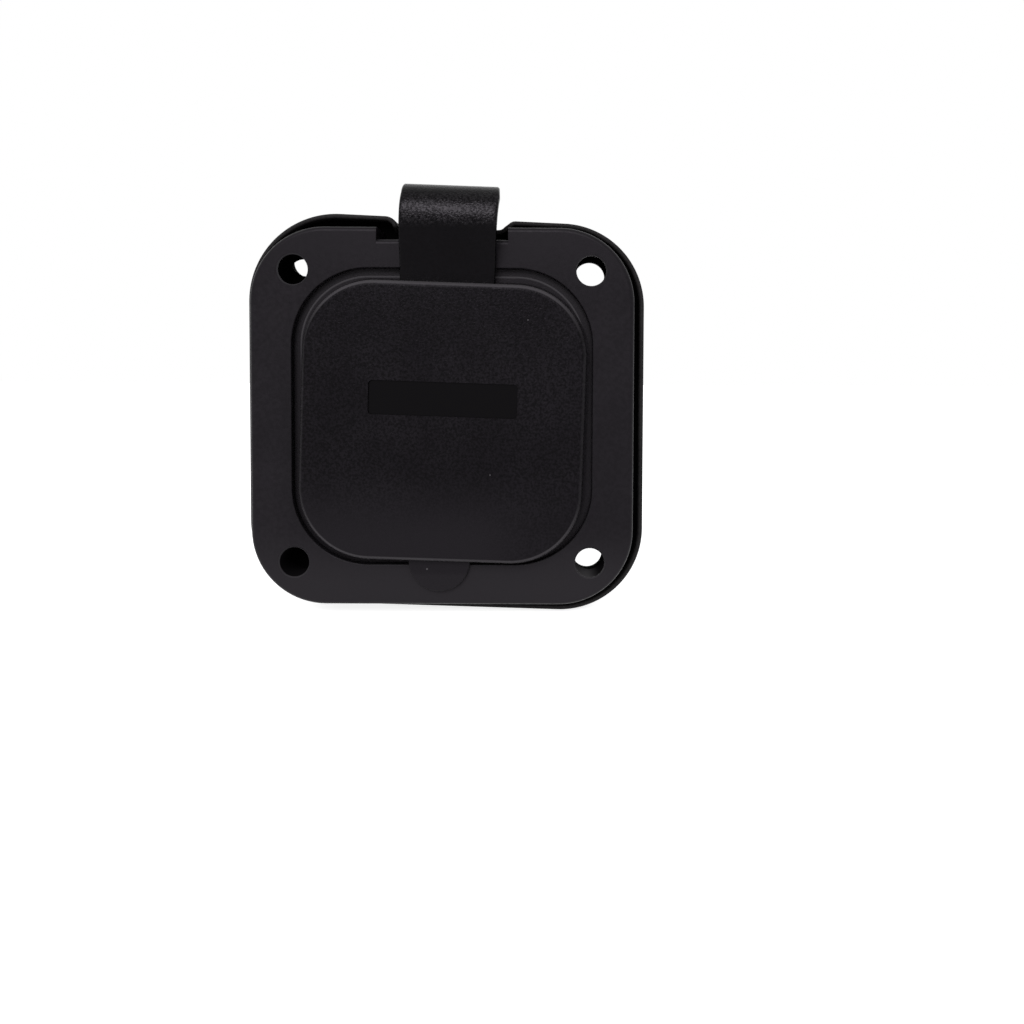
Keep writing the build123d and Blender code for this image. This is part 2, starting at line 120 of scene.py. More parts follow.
def gridFaces(rows, columns):
    # quads of a grid of rows by columns, where each row is a closed ring
    i, c = np.meshgrid(np.arange(rows - 1), np.arange(columns), indexing="ij")
    a, b = i * columns, (i + 1) * columns
    d = (c + 1) % columns
    return np.stack([a + c, a + d, b + d, b + c], -1).reshape(-1, 4)


def circle(centre, radius, count):
    t = np.arange(count) * 2 * pi / count
    return np.stack([centre[0] + radius * np.cos(t), centre[1] + radius * np.sin(t)], 1)


def addPiece(name, points, faces, material, body, replaced):
    mesh = bpy.data.meshes.new(name)
    mesh.from_pydata((np.asarray(points) * mm).tolist(), [], [list(map(int, face)) for face in faces])
    mesh.validate()
    mesh.update()
    mesh.polygons.foreach_set("use_smooth", [True] * len(mesh.polygons))
    mesh.materials.append(material)
    piece = bpy.data.objects.new(name, mesh)
    scene.collection.objects.link(piece)
    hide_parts(*replaced)
    if body:
        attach(piece, body)
    return piece


# ---- material helpers
def newMaterial(name, look):
    material = bpy.data.materials.new(name)
    material.use_nodes = True
    shader = material.node_tree.nodes["Principled BSDF"]
    shader.inputs["Base Color"].default_value = (*look["colour"], 1)
    shader.inputs["Roughness"].default_value = look["rough"]
    shader.inputs["Specular IOR Level"].default_value = look.get("specular", 0.5)
    shader.inputs["Specular Tint"].default_value = (*look.get("tint", (1.0, 1.0, 1.0)), 1)
    shader.inputs["Metallic"].default_value = look.get("metal", 0.0)
    return material, material.node_tree, shader


def addNode(tree, kind, **settings):
    node = tree.nodes.new("ShaderNode" + kind)
    for key, value in settings.items():
        if key in node.inputs:
            node.inputs[key].default_value = value
        else:
            setattr(node, key, value)
    return node


def link(tree, source, target):
    tree.links.new(source, target)


def feed(tree, value, socket):
    # a number or a colour is set on the socket, and a node's output is linked to it
    if isinstance(value, (int, float)):
        socket.default_value = value
    elif isinstance(value, tuple):
        socket.default_value = (*value, 1)
    else:
        link(tree, value, socket)


def maths(tree, operation, first, second=0.0, clamp=False):
    # one sum on two values, each a number or a node's output
    node = addNode(tree, "Math", operation=operation, use_clamp=clamp)
    for socket, value in zip(node.inputs, (first, second)):
        feed(tree, value, socket)
    return node.outputs[0]


def product(tree, *values):
    result = values[0]
    for value in values[1:]:
        result = maths(tree, "MULTIPLY", result, value)
    return result


def length(tree, across, up):
    # how far a point lies from where both its coordinates are 0
    squares = [maths(tree, "MULTIPLY", side, side) for side in (across, up)]
    return maths(tree, "SQRT", maths(tree, "ADD", *squares))


def along(tree, place, axis):
    split = addNode(tree, "SeparateXYZ")
    link(tree, place, split.inputs[0])
    return split.outputs[axis]


def ramp(tree, value, low, high, to=(0.0, 1.0)):
    # value from low to high becomes to[0] to to[1], smoothly
    node = addNode(tree, "MapRange", interpolation_type="SMOOTHSTEP")
    link(tree, value, node.inputs["Value"])
    for key, number in zip(("From Min", "From Max", "To Min", "To Max"), (low, high, *to)):
        node.inputs[key].default_value = number
    return node.outputs["Result"]


def noise(tree, place, scale, detail=2.0, rough=0.5):
    node = addNode(tree, "TexNoise", Scale=scale, Detail=detail, Roughness=rough)
    link(tree, place, node.inputs["Vector"])
    return node.outputs["Fac"]


def mixColour(tree, weight, first, second):
    node = addNode(tree, "Mix", data_type="RGBA")
    link(tree, weight, node.inputs["Factor"])
    feed(tree, first, node.inputs[6])
    feed(tree, second, node.inputs[7])
    return node.outputs[2]


def specks(tree, place, scale, size):
    # small round spots round scattered cell points: 1 on a spot, 0 elsewhere
    cells = addNode(tree, "TexVoronoi", Scale=scale)
    link(tree, place, cells.inputs["Vector"])
    return ramp(tree, cells.outputs["Distance"], size, size * 0.5)


def scaled(tree, colour, factor):
    node = addNode(tree, "VectorMath", operation="SCALE")
    link(tree, colour, node.inputs[0])
    link(tree, factor, node.inputs["Scale"])
    return node.outputs[0]


def surface(name, look, masks=()):
    # moulded or plated surface: cloudy colour, uneven gloss, grain and dust specks; masks shade named areas
    material, tree, shader = newMaterial(name, look)
    place = addNode(tree, "TexCoord").outputs["Object"]
    cloud = noise(tree, place, look["cloudScale"], 3.0)
    colour = mixColour(tree, ramp(tree, cloud, 0.35, 0.65), look["colour"], look["colourHigh"])
    if "speck" in look:
        scale, size, share = look["speck"]
        spot = maths(tree, "MULTIPLY", specks(tree, place, scale, size), share)
        colour = mixColour(tree, spot, colour, look["speckColour"])
    if "mottle" in look:
        scale, spread = look["mottle"]
        patch = noise(tree, place, scale, 3.0, 0.6)
        colour = scaled(tree, colour, ramp(tree, patch, 0.36, 0.64, (1.0 - spread, 1.0 + spread)))
    grainPlace = place
    if "drawn" in look:
        lines = addNode(tree, "VectorMath", operation="MULTIPLY")
        link(tree, place, lines.inputs[0])
        lines.inputs[1].default_value = look["drawn"]
        grainPlace = lines.outputs[0]
    grain = noise(tree, grainPlace, look["grainScale"], look.get("grainDetail", 2.0), 0.6)
    rough, spread = look["rough"], look["roughSpread"]
    uneven = noise(tree, place, look["glossScale"])
    gloss = ramp(tree, uneven, 0.3, 0.7, (rough - spread, rough + spread))
    strength = look["grainStrength"]
    for mask in masks:
        weight = mask["weight"](tree, place)
        if "colour" in mask:
            colour = mixColour(tree, weight, colour, mask["colour"])
        if "rough" in mask:
            kept = maths(tree, "MULTIPLY", gloss, maths(tree, "SUBTRACT", 1.0, weight))
            gloss = maths(tree, "ADD", kept, maths(tree, "MULTIPLY", weight, mask["rough"]))
        if "specular" in mask:
            shine = ramp(tree, weight, 0.0, 1.0, (look["specular"], mask["specular"]))
            link(tree, shine, shader.inputs["Specular IOR Level"])
        if "grain" in mask:
            strength = maths(tree, "MULTIPLY", ramp(tree, weight, 0.0, 1.0, (1.0, mask["grain"])), strength)
    link(tree, colour, shader.inputs["Base Color"])
    link(tree, gloss, shader.inputs["Roughness"])
    bump = addNode(tree, "Bump", Distance=look["grainHeight"] * mm)
    link(tree, grain, bump.inputs["Height"])
    feed(tree, strength, bump.inputs["Strength"])
    normal = bump.outputs["Normal"]
    if "wave" in look:
        scale, size = look["wave"]
        wave = addNode(tree, "Bump", Strength=1.0, Distance=size * mm)
        link(tree, noise(tree, place, scale), wave.inputs["Height"])
        link(tree, normal, wave.inputs["Normal"])
        normal = wave.outputs["Normal"]
    link(tree, normal, shader.inputs["Normal"])
    return material


# ---- masks: each gives 1 on its own area and 0 elsewhere, with X and Z as seen from the front and Y as depth
def heightMask(start, end):
    # 0 at the first height, rising to 1 at the second
    return lambda tree, place: ramp(tree, along(tree, place, "Z"), start * mm, end * mm)


def depthMask(low, high):
    # 1 between two depths, with soft ends a tenth of a millimetre long
    soft = 0.05

    def weight(tree, place):
        depth = along(tree, place, "Y")
        below = ramp(tree, depth, (low - soft) * mm, (low + soft) * mm)
        above = ramp(tree, depth, (high + soft) * mm, (high - soft) * mm)
        return maths(tree, "MULTIPLY", below, above)

    return weight


def spotMask(x, z, radius):
    # 1 within a small round mark
    def weight(tree, place):
        side = maths(tree, "SUBTRACT", along(tree, place, "X"), x * mm)
        up = maths(tree, "SUBTRACT", along(tree, place, "Z"), z * mm)
        return ramp(tree, length(tree, side, up), radius * mm, radius * 0.5 * mm)

    return weight


def boxDistance(tree, place, half, radius):
    # distance from the edge of a rounded oblong, below 0 inside it:
    # with q = |place| - half + radius, it is |max(q, 0)| + min(max(q.x, q.z), 0) - radius
    sides = []
    for axis, reach in (("X", half[0]), ("Z", half[1])):
        size = maths(tree, "ABSOLUTE", along(tree, place, axis))
        sides.append(maths(tree, "SUBTRACT", size, (reach - radius) * mm))
    outside = length(tree, *[maths(tree, "MAXIMUM", side, 0.0) for side in sides])
    inside = maths(tree, "MINIMUM", maths(tree, "MAXIMUM", *sides), 0.0)
    return maths(tree, "SUBTRACT", maths(tree, "ADD", outside, inside), radius * mm)


# ---- housing: satin black plastic, duller in the recess round the cap
housingLook = {
    "colour": (0.0072, 0.0063, 0.0077),
    "colourHigh": (0.0100, 0.0088, 0.0106),
    # painted light: the lower flange is lighter, standing in for light thrown up from the floor
    "paintedFloorLight": (0.0178, 0.0162, 0.0185),
    "lowHeights": (-20.0, -34.0),  # where the painted light from the floor starts and where it is full
    # painted light: the top of the housing is lighter, as if lit from above
    "topLightColour": (0.0090, 0.0079, 0.0096),
    "topHeights": (26.0, 34.0),
    "rough": 0.34,
    "roughSpread": 0.05,
    "specular": 0.088,
    "tint": (0.98, 0.90, 1.0),
    "mottle": (1500.0, 0.16),  # size and strength of the colour's fine patches
    "cloudScale": 55.0,
    "glossScale": 900.0,
    "grainScale": 4200.0,
    "grainStrength": 0.5,
    "grainHeight": 0.03,
    "wave": (130.0, 0.02),  # size and height of the moulding's slow waves
    "hole": (29.0, 28.6, 2.9),  # place and radius of the upper right screw hole
    "holeDepths": (-8.6, -1.0),
    # painted shade: the walls of the screw holes are nearly black
    "holeShadeColour": (0.0012, 0.0011, 0.0012),
    # painted light on the walls of the two lower holes
    "lowHoleLightColour": (0.0080, 0.0074, 0.0083),
    "holeLitColour": (0.0700, 0.0670, 0.0710),
    "holeLitSides": (31.2, 28.2),  # where the light in the lower right hole starts and where it is full
    # painted highlight round each screw hole's chamfer
    "holeRimHighlightColour": (0.0300, 0.0280, 0.0310),
    "holeRim": 0.3,  # width of the chamfer round a hole
    "holeRimDepths": (-8.95, -8.7),
    "recess": ((29.28, 28.95), 14.9),  # half sizes and corner radius
    "recessDepths": (-8.8, -7.0),
    "recessColour": (0.0095, 0.0084, 0.0100),
    "trench": 1.4,  # width of the trench along the recess's wall
    "trenchHeights": (14.0, 24.0),
    "trenchLightColour": (0.0150, 0.0136, 0.0156),
    "lineHeights": (6.0, 18.0),
    "highlightLineColour": (0.0480, 0.0450, 0.0490),
}


def recessMask(tree, place):
    inside = ramp(tree, boxDistance(tree, place, *housingLook["recess"]), 0.06 * mm, -0.02 * mm)
    return maths(tree, "MULTIPLY", inside, depthMask(*housingLook["recessDepths"])(tree, place))


def trenchLightMask(tree, place):
    # painted light in the trench along the top of the recess
    far = boxDistance(tree, place, *housingLook["recess"])
    width = housingLook["trench"]
    near = ramp(tree, far, -(width + 0.2) * mm, -(width - 0.2) * mm)
    high = heightMask(*housingLook["trenchHeights"])(tree, place)
    return product(tree, near, high, recessMask(tree, place))


def highlightLineMask(tree, place):
    # painted highlight along the upper edge between the trench and the middle of the recess
    far = boxDistance(tree, place, *housingLook["recess"])
    width = housingLook["trench"]
    inner = ramp(tree, far, -(width + 0.45) * mm, -(width + 0.2) * mm)
    outer = ramp(tree, far, -(width - 0.1) * mm, -(width + 0.05) * mm)
    high = heightMask(*housingLook["lineHeights"])(tree, place)
    return product(tree, inner, outer, high, recessMask(tree, place))


def holeReach(tree, place):
    # distance from the axis of the nearest of the four screw holes, which lie alike in each quarter
    sides = []
    for axis, reach in (("X", housingLook["hole"][0]), ("Z", housingLook["hole"][1])):
        size = maths(tree, "ABSOLUTE", along(tree, place, axis))
        sides.append(maths(tree, "SUBTRACT", size, reach * mm))
    return length(tree, *sides)


def holeMask(tree, place):
    radius = housingLook["hole"][2]
    near = ramp(tree, holeReach(tree, place), (radius + 0.06) * mm, (radius + 0.02) * mm)
    return maths(tree, "MULTIPLY", near, depthMask(*housingLook["holeDepths"])(tree, place))


def lowHoleMask(tree, place):
    # the two lower holes, whose walls catch some light
    return maths(tree, "MULTIPLY", holeMask(tree, place), heightMask(5.0, -5.0)(tree, place))


def litHoleMask(tree, place):
    # the left half of the lower right hole
    side = along(tree, place, "X")
    right = ramp(tree, side, 0.0, 5.0 * mm)
    lit = ramp(tree, side, *[at * mm for at in housingLook["holeLitSides"]])
    return product(tree, right, lit, lowHoleMask(tree, place))


def holeRimHighlightMask(tree, place):
    # painted highlight on the small chamfer round each screw hole
    edge = housingLook["hole"][2] + housingLook["holeRim"]
    near = ramp(tree, holeReach(tree, place), (edge + 0.04) * mm, (edge - 0.04) * mm)
    return maths(tree, "MULTIPLY", near, depthMask(*housingLook["holeRimDepths"])(tree, place))


housingPlastic = surface(
    "housingPlastic",
    housingLook,
    [
        {"weight": heightMask(*housingLook["lowHeights"]), "colour": housingLook["paintedFloorLight"]},
        {"weight": heightMask(*housingLook["topHeights"]), "colour": housingLook["topLightColour"]},
        dict(weight=holeMask, colour=housingLook["holeShadeColour"], rough=1.0, specular=0.0, grain=0.0),
        {"weight": lowHoleMask, "colour": housingLook["lowHoleLightColour"]},
        {"weight": litHoleMask, "colour": housingLook["holeLitColour"]},
        {"weight": recessMask, "colour": housingLook["recessColour"], "grain": 2.2},
        {"weight": holeRimHighlightMask, "colour": housingLook["holeRimHighlightColour"]},
        {"weight": trenchLightMask, "colour": housingLook["trenchLightColour"]},
        {"weight": highlightLineMask, "colour": housingLook["highlightLineColour"]},
    ],
)

# ---- cap: black rubbery plastic, sand-grained on its panel, smooth in the bare label recess
capPlace = {
    "turn": 1.7,  # degrees clockwise, as the cap and its strap sit in the photograph
    "centre": (0.4, -0.9),
}
capLook = {
    "colour": (0.0030, 0.0025, 0.0033),
    "colourHigh": (0.0050, 0.0043, 0.0054),
    # painted light: the lower part of the panel is lighter, as if lit from the floor
    "paintedFloorLight": (0.0110, 0.0097, 0.0116),
    "lowHeights": (-9.0, -25.0),
    "lowSides": (6.0, 20.0),  # where the painted floor light starts to fade and where it is weakest
    "lowRight": 0.35,
    # painted light from the floor, strongest on the tab at the bottom
    "tabPaintedLight": (0.0142, 0.0127, 0.0148),
    "tabHeights": (-30.0, -31.2),
    "edgeHighlightColour": (0.0540, 0.0500, 0.0550),
    "edgeHeights": (15.0, 25.0),
    "edgeSides": 0.12,  # how much painted highlight the panel's sides get, against its top and bottom
    "edgeDepths": (-11.72, -10.95),
    "rough": 0.31,
    "roughSpread": 0.05,
    "specular": 0.064,
    "tint": (0.97, 0.90, 1.0),
    "mottle": (2100.0, 0.75),
    "cloudScale": 70.0,
    "glossScale": 1200.0,
    "grainScale": 2400.0,
    "grainDetail": 2.5,
    "grainStrength": 1.0,
    "grainHeight": 0.07,
    "labelUp": 4.45,
    "labelHalf": (14.25, 3.25),  # half sizes
    "labelColour": (0.0, 0.0, 0.0),
    "labelDepth": -11.65,
    "panelDepth": -9.6,  # where the panel rises from the rim
    "ticks": [(-2.77, -29.60, 0.22), (9.63, -10.92, 0.16), (16.82, 18.81, 0.16)],  # small nicks
    "tickColour": (0.09, 0.085, 0.09),
}


def labelMask(tree, place):
    # 1 on the floor of the label recess, from coordinates turned with the cap
    node = addNode(tree, "Mapping", vector_type="TEXTURE")
    link(tree, place, node.inputs["Vector"])
    x, z = capPlace["centre"]
    node.inputs["Location"].default_value = (x * mm, 0, z * mm)
    node.inputs["Rotation"].default_value = (0, radians(capPlace["turn"]), 0)
    turned = node.outputs[0]
    inside = []
    for axis, middle, half in zip("XZ", (0.0, capLook["labelUp"]), capLook["labelHalf"]):
        away = maths(tree, "SUBTRACT", along(tree, turned, axis), middle * mm)
        inside.append(ramp(tree, maths(tree, "ABSOLUTE", away), (half + 0.1) * mm, half * mm))
    depth = capLook["labelDepth"]
    return product(tree, *inside, ramp(tree, along(tree, turned, "Y"), (depth - 0.05) * mm, depth * mm))


def paintedFloorLightMask(tree, place):
    # painted light from the floor on the lower part of the panel, less toward the right
    sides = [at * mm for at in capLook["lowSides"]]
    right = ramp(tree, along(tree, place, "X"), *sides, (1.0, capLook["lowRight"]))
    return maths(tree, "MULTIPLY", heightMask(*capLook["lowHeights"])(tree, place), right)


def edgeHighlightMask(tree, place):
    # painted highlight on the panel's rounded edge, strongest along its top and bottom
    high = maths(tree, "ABSOLUTE", along(tree, place, "Z"))
    share = ramp(tree, high, *[at * mm for at in capLook["edgeHeights"]], (capLook["edgeSides"], 1.0))
    return maths(tree, "MULTIPLY", share, depthMask(*capLook["edgeDepths"])(tree, place))


def rimMask(tree, place):
    # the rim and the tab, behind the panel
    depth = capLook["panelDepth"]
    return ramp(tree, along(tree, place, "Y"), (depth - 0.3) * mm, depth * mm)


capMasks = [
    {"weight": paintedFloorLightMask, "colour": capLook["paintedFloorLight"]},
    {"weight": heightMask(*capLook["tabHeights"]), "colour": capLook["tabPaintedLight"]},
    {"weight": rimMask, "grain": 0.3},
    {"weight": edgeHighlightMask, "colour": capLook["edgeHighlightColour"], "grain": 0.5},
    {"weight": labelMask, "colour": capLook["labelColour"], "grain": 0.1, "rough": 0.34},
]
for tick in capLook["ticks"]:
    capMasks.append({"weight": spotMask(*tick), "colour": capLook["tickColour"]})
capRubber = surface("capRubber", capLook, capMasks)

# ---- strap: the same rubber with a leathery grain
strapLook = dict(
    capLook,
    colour=(0.0008, 0.0007, 0.0009),
    colourHigh=(0.0014, 0.0012, 0.0015),
    specular=0.062,
    bendSpecular=0.170,
    bendHeights=(35.4, 37.6, 41.6, 43.6),
    bendGrain=(2400.0, 1.5),  # size and detail of the polished grains
    bendLeast=0.15,
    rough=0.19,
    roughSpread=0.03,
    mottle=(1500.0, 0.4),
    grainScale=3300.0,
    grainDetail=1.0,
    grainHeight=0.065,
)


def bendMask(tree, place):
    # the bend is polished by use, in fine grains
    grains = noise(tree, place, *strapLook["bendGrain"], 0.6)
    polish = ramp(tree, grains, 0.38, 0.62, (strapLook["bendLeast"], 1.0))
    low, full, fading, high = strapLook["bendHeights"]
    return product(tree, polish, heightMask(low, full)(tree, place), heightMask(high, fading)(tree, place))


strapRubber = surface("strapRubber", strapLook, [{"weight": bendMask, "specular": strapLook["bendSpecular"]}])

strapShape = {
    "back": -1.0,  # depth of the middle of the rear run
    "root": 36.6,  # height of its lower end, inside the gasket
    "crest": 39.12,  # height of the loop's centre in the cap's own directions
    "loop": 6.15,  # radius of the loop's middle
    "foot": (-10.0, 26.5),  # depth and height of its end on the cap
    "thickness": 1.6,
    "edge": 0.5,
    "stations": (0.0, 0.09, 0.36, 0.5, 0.67, 1.0),  # shares of its length, with the width and shift there
    "width": (17.75, 17.9, 18.6, 18.75, 18.45, 18.3),
    "shift": (-0.9, -0.9, 0.0, 0.38, 0.2, 0.0),
    "blend": ((0.0016, -0.0025, 0.044), (0.0016, -0.0085, 0.044)),  # in metres, from the inlet to the cap
}


def addStrap(s):
    # path in the plane across the strap: straight up, half a circle over, then two equal arcs as a long S
    front = s["back"] - 2 * s["loop"]
    rise = np.stack([np.full(20, s["back"]), np.linspace(s["root"], s["crest"], 20)], 1)
    t = np.linspace(0, pi, 64)[1:]
    over = np.stack([s["back"] - s["loop"] + s["loop"] * np.cos(t), s["crest"] + s["loop"] * np.sin(t)], 1)
    middle = np.array([(front + s["foot"][0]) / 2, (s["crest"] + s["foot"][1]) / 2])
    away, drop = middle[0] - front, s["crest"] - middle[1]
    radius = (away**2 + drop**2) / (2 * away)
    t = np.linspace(0, np.arcsin(drop / radius), 30)[1:]
    lean = np.stack([front + radius * (1 - np.cos(t)), s["crest"] - radius * np.sin(t)], 1)
    settle = (2 * middle - lean)[::-1]
    path = np.concatenate([rise, over, lean, settle[1:], [s["foot"]]])
    tangent = np.gradient(path, axis=0)
    tangent /= np.linalg.norm(tangent, axis=1)[:, None]
    outward = np.stack([tangent[:, 1], -tangent[:, 0]], 1)
    at = np.concatenate([[0], np.cumsum(np.linalg.norm(np.diff(path, axis=0), axis=1))])
    at /= at[-1]
    width = np.interp(at, s["stations"], s["width"])
    shift = np.interp(at, s["stations"], s["shift"])

    # section: a flat oblong with round edges, u across in half widths and v through in millimetres
    half, edge = s["thickness"] / 2, s["edge"]
    arc = np.linspace(0, pi / 2, 7)
    flat = np.linspace(-1, 1, 25)[1:-1]
    face, side = np.full(len(flat), half), np.ones(2 * len(arc))
    cornerU, cornerV = edge * np.sin(arc), edge * np.cos(arc)
    u = np.concatenate([flat * 0, cornerU, cornerU[::-1], flat * 0, -cornerU, -cornerU[::-1]])
    k = np.concatenate([flat, side, flat[::-1], -side])
    v = np.concatenate([
        face, half - edge + cornerV, -(half - edge) - cornerV[::-1],
        -face, -(half - edge) - cornerV, half - edge + cornerV[::-1],
    ])
    across = shift[:, None] + k[None, :] * (width[:, None] / 2 - edge) + u[None, :]
    deep = path[:, None, :] + outward[:, None, :] * v[None, :, None]
    turn = radians(capPlace["turn"])
    x = capPlace["centre"][0] + across * cos(turn) + deep[..., 1] * sin(turn)
    z = capPlace["centre"][1] - across * sin(turn) + deep[..., 1] * cos(turn)
    points = np.stack([x, deep[..., 0], z], -1).reshape(-1, 3)
    rows, columns = across.shape
    faces = gridFaces(rows, columns).tolist()
    faces.append(list(range(columns)))
    faces.append(list(range((rows - 1) * columns, rows * columns))[::-1])
    return addPiece("strapLoop", points, faces, strapRubber, None, ["strap"])


strapLoop = addStrap(strapShape)
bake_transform(strapLoop)
print("strap made")

# ---- gasket: matt rubber sheet that sits a little askew, with a low lip round the flange
gasketLook = {
    "colour": (0.0115, 0.0107, 0.0113),
    "colourHigh": (0.0165, 0.0154, 0.0160),
    "sheetShadeColour": (0.0012, 0.0011, 0.0012),  # painted shade between the lip and the flange, where no light falls
    "sheetDepths": (-2.9, -0.2),
    "rough": 0.55,
    "roughSpread": 0.08,
    "specular": 0.09,
    "mottle": (1600.0, 0.2),
    "cloudScale": 90.0,
    "glossScale": 1500.0,
    "grainScale": 3000.0,
    "grainStrength": 0.6,
    "grainHeight": 0.05,
}
sheetShadeMask = depthMask(*gasketLook["sheetDepths"])
gasketRubber = surface(
    "gasketRubber",
    gasketLook,
    [dict(weight=sheetShadeMask, colour=gasketLook["sheetShadeColour"], rough=0.9, specular=0.02, grain=0.2)],
)

gasketShape = {
    "corners": [  # the outline, anticlockwise from the left side of the strap's gap
        (-9.34, 36.5), (-9.34, 39.7), (-39.1, 40.95), (-39.1, -37.31),
        (39.75, -39.60), (39.75, 37.90), (13.4, 38.97), (11.3, 37.4),
    ],
    "radii": (0.3, 2.7, 17.5, 16.6, 16.6, 16.6, 1.5, 0.7),
    "step": 0.5,
    "sheet": 1.98,
    "lip": 3.0,
    "lipWall": 0.95,
    "lipRound": 0.45,
    "gap": (-12.4, 13.6),  # the strap's gap, from side to side
    "lipFrom": (36.8, 37.7),  # heights between which the lip rises beside the gap
    "edge": 0.25,
    "sideRows": (1.0, 1.7),  # depths of the extra rows on the outer side
    "bore": 31.2,
    "holeRadius": 3.1,
    "holes": [(-28.5, 31.2), (28.9, 28.3), (28.7, -28.3), (-26.4, -26.0)],
}


def addGasket(g):
    # rings of the outline, set in and lifted along the lip's section: up outside, over its top, down inside
    outline, normal = roundedOutline(g["corners"], g["radii"], g["step"])
    inGap = (outline[:, 0] > g["gap"][0]) & (outline[:, 0] < g["gap"][1]) & (outline[:, 1] > 0)
    low, high = g["lipFrom"]
    rise = np.clip((outline[:, 1] - low) / (high - low), 0, 1)
    share = np.where(inGap, rise * rise * (3 - 2 * rise), 1.0)
    sheet, wall, edge, top, lip = g["sheet"], g["lipWall"], g["edge"], g["lipRound"], g["lip"]
    t = np.linspace(0, pi / 2, 7)
    count = len(t)
    insets = np.concatenate([
        edge * (1 - np.sin(t)), [0, 0], top * (1 - np.cos(t)), wall - top * (1 - np.sin(t)), [wall],
    ])
    fixed = np.concatenate([
        edge * (1 - np.cos(t)), g["sideRows"], sheet - top + top * np.sin(t), np.full(count + 1, sheet),
    ])
    lifted = np.concatenate([np.zeros(count + 2), np.full(count, lip), lip - top * (1 - np.cos(t)), [0.0]])
    ring = outline[None] - normal[None] * insets[:, None, None]
    depth = -(fixed[:, None] + lifted[:, None] * share[None])
    points = np.stack([ring[..., 0], depth, ring[..., 1]], -1)
    rows, columns = depth.shape
    lipFaces = gridFaces(rows, columns)

    # flat faces between the outline, the round opening and the screw holes, then walls through the openings
    rounds = [((0, 0), g["bore"], 120)] + [(hole, g["holeRadius"], 36) for hole in g["holes"]]
    openings = [circle(*shape) for shape in rounds]
    flatPoints, flatFaces, starts = [], [], []
    start = rows * columns
    for level, edgeRing in ((0.0, ring[0]), (-sheet, ring[-1])):
        loops = [edgeRing] + openings
        offsets = np.cumsum([0] + [len(loop) for loop in loops])
        edges = [
            (int(offsets[k] + i), int(offsets[k] + (i + 1) % len(loop)))
            for k, loop in enumerate(loops) for i in range(len(loop))
        ]
        flat = [Vector(point) for point in np.concatenate(loops).tolist()]
        result = delaunay_2d_cdt(flat, edges, [], 2, 1e-5)
        verts = np.array([tuple(point) for point in result[0]])
        flatPoints.append(np.stack([verts[:, 0], np.full(len(verts), level), verts[:, 1]], 1))
        faces = np.array(result[2])
        middle = verts[faces].mean(axis=1)
        solid = [np.hypot(*(middle - centre).T) > radius for centre, radius, _ in rounds]
        faces = faces[np.all(solid, axis=0)] + start
        flatFaces.append(faces if level == 0.0 else faces[:, ::-1])
        starts.append(start)
        start += len(verts)
    back, front = starts
    wallFaces = []
    for k, loop in enumerate(openings):
        i = np.arange(len(loop)) + offsets[k + 1]
        j = np.roll(i, -1)
        wallFaces.append(np.stack([back + i, back + j, front + j, front + i], 1))
    points = np.concatenate([points.reshape(-1, 3)] + flatPoints)
    faces = [face for part in [lipFaces] + flatFaces + wallFaces for face in part.tolist()]
    return addPiece("gasketSheet", points, faces, gasketRubber, "inlet", ["gasket"])


gasketSheet = addGasket(gasketShape)
print("gasket made")

# ---- contact carrier: filled nylon, a little warmer than the housing, with flow clouds
carrierLook = {
    "colour": (0.026, 0.024, 0.023),
    "colourHigh": (0.040, 0.037, 0.035),
    "rough": 0.46,
    "roughSpread": 0.06,
    "specular": 0.2,
    "cloudScale": 240.0,
    "glossScale": 1400.0,
    "grainScale": 3800.0,
    "grainStrength": 0.5,
    "grainHeight": 0.03,
    "mottle": (1300.0, 0.12),
}
carrierNylon = surface("carrierNylon", carrierLook)

# ---- rear cover and cable clamp: coarser black plastic than the flange
coverLook = {
    "colour": (0.018, 0.017, 0.019),
    "colourHigh": (0.026, 0.024, 0.027),
    "rough": 0.48,
    "roughSpread": 0.07,
    "specular": 0.15,
    "cloudScale": 120.0,
    "glossScale": 900.0,
    "grainScale": 2100.0,
    "grainStrength": 0.9,
    "grainHeight": 0.08,
    "wave": (160.0, 0.02),
    "mottle": (1100.0, 0.14),
}
coverPlastic = surface("coverPlastic", coverLook)

# ---- cover seal and cable bush: soft matt rubber with a trace of talc
sealLook = {
    "colour": (0.012, 0.012, 0.012),
    "colourHigh": (0.022, 0.021, 0.020),
    "rough": 0.62,
    "roughSpread": 0.08,
    "specular": 0.12,
    "cloudScale": 420.0,
    "glossScale": 1600.0,
    "grainScale": 4200.0,
    "grainStrength": 0.7,
    "grainHeight": 0.04,
    "speck": (900.0, 0.12, 0.5),  # how close, how large and how strong
    "speckColour": (0.10, 0.10, 0.095),
}
sealRubber = surface("sealRubber", sealLook)

bushLook = dict(
    sealLook,
    colour=(0.016, 0.015, 0.015),
    colourHigh=(0.028, 0.026, 0.025),
    grainScale=2600.0,
)
bushRubber = surface("bushRubber", bushLook)


def metalLook(colour, colourHigh, rough, drawn):
    # drawn is how far the polish lines stretch along the piece, as a scale for each direction
    return {
        "colour": colour,
        "colourHigh": colourHigh,
        "rough": rough,
        "roughSpread": 0.06,
        "specular": 0.5,
        "metal": 1.0,
        "cloudScale": 500.0,
        "glossScale": 1800.0,
        "grainScale": 2600.0,
        "grainStrength": 0.4,
        "grainHeight": 0.02,
        "drawn": drawn,
    }


# ---- contacts: drawn brass blade and pin, the neutral blade nickel plated
bladeDrawn, pinDrawn, screwDrawn = (1.0, 0.12, 1.0), (1.0, 0.10, 1.0), (1.0, 0.4, 1.0)
lineBrass = surface("lineBrass", metalLook((0.70, 0.50, 0.22), (0.78, 0.58, 0.28), 0.26, bladeDrawn))
pinBrass = surface("pinBrass", metalLook((0.66, 0.46, 0.20), (0.76, 0.56, 0.27), 0.30, pinDrawn))
neutralNickel = surface("neutralNickel", metalLook((0.58, 0.56, 0.52), (0.66, 0.64, 0.60), 0.24, bladeDrawn))

